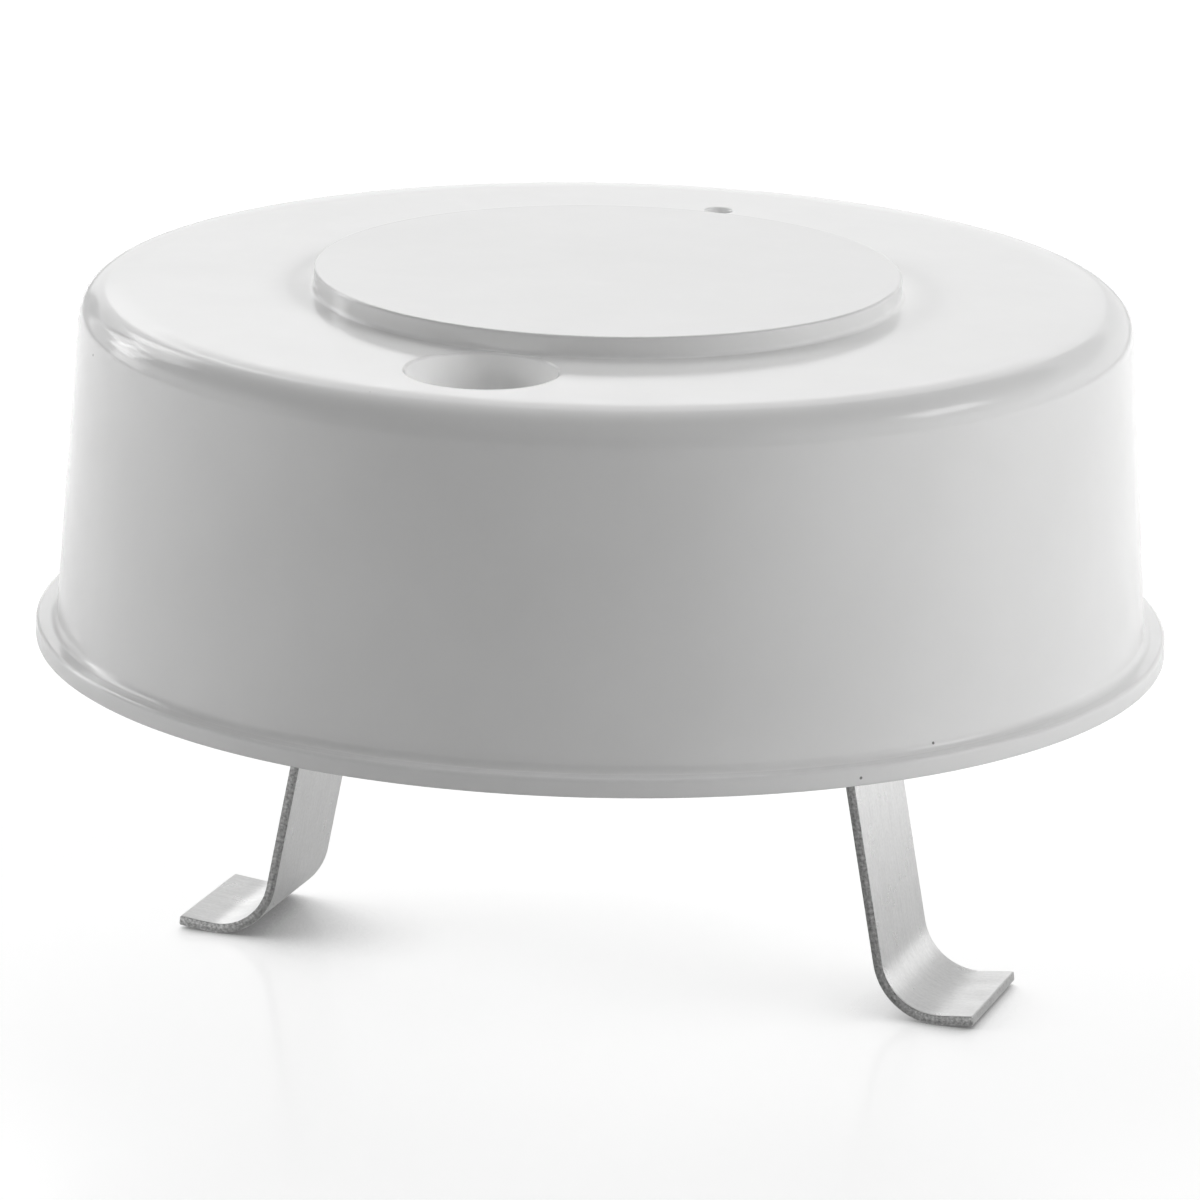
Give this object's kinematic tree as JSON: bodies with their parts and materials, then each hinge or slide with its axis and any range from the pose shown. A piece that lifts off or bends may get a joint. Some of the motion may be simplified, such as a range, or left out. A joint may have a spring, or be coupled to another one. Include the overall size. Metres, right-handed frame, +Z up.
{
  "type": "plumbing vent cap",
  "caption": "Round moulded vent-pipe cap with a drafted skirt, thin rim, raised disc and side pocket, held in the pipe by a bent flat spring strap whose legs stand out below the rim.",
  "frame": {"origin": "on the cap's axis, in the plane that the two feet of the strap stand on", "axes": "+Z up along the cap's axis, X along the strap from foot to foot, -Y towards the round pocket in the top"},
  "size_m": [0.14, 0.14, 0.0887],
  "materials": {
    "cap_plastic": "smooth moulded plastic, off-white, half glossy, with a few dark specks",
    "strap_steel": "rolled strip with fine grain along its length and sheared edges",
    "screw_steel": "plain zinc-plated screws"
  },
  "bodies": {
    "root": {"cap": "cap_plastic", "spring_strap": "strap_steel", "strap_screws": "screw_steel"}
  },
  "joints": []
}
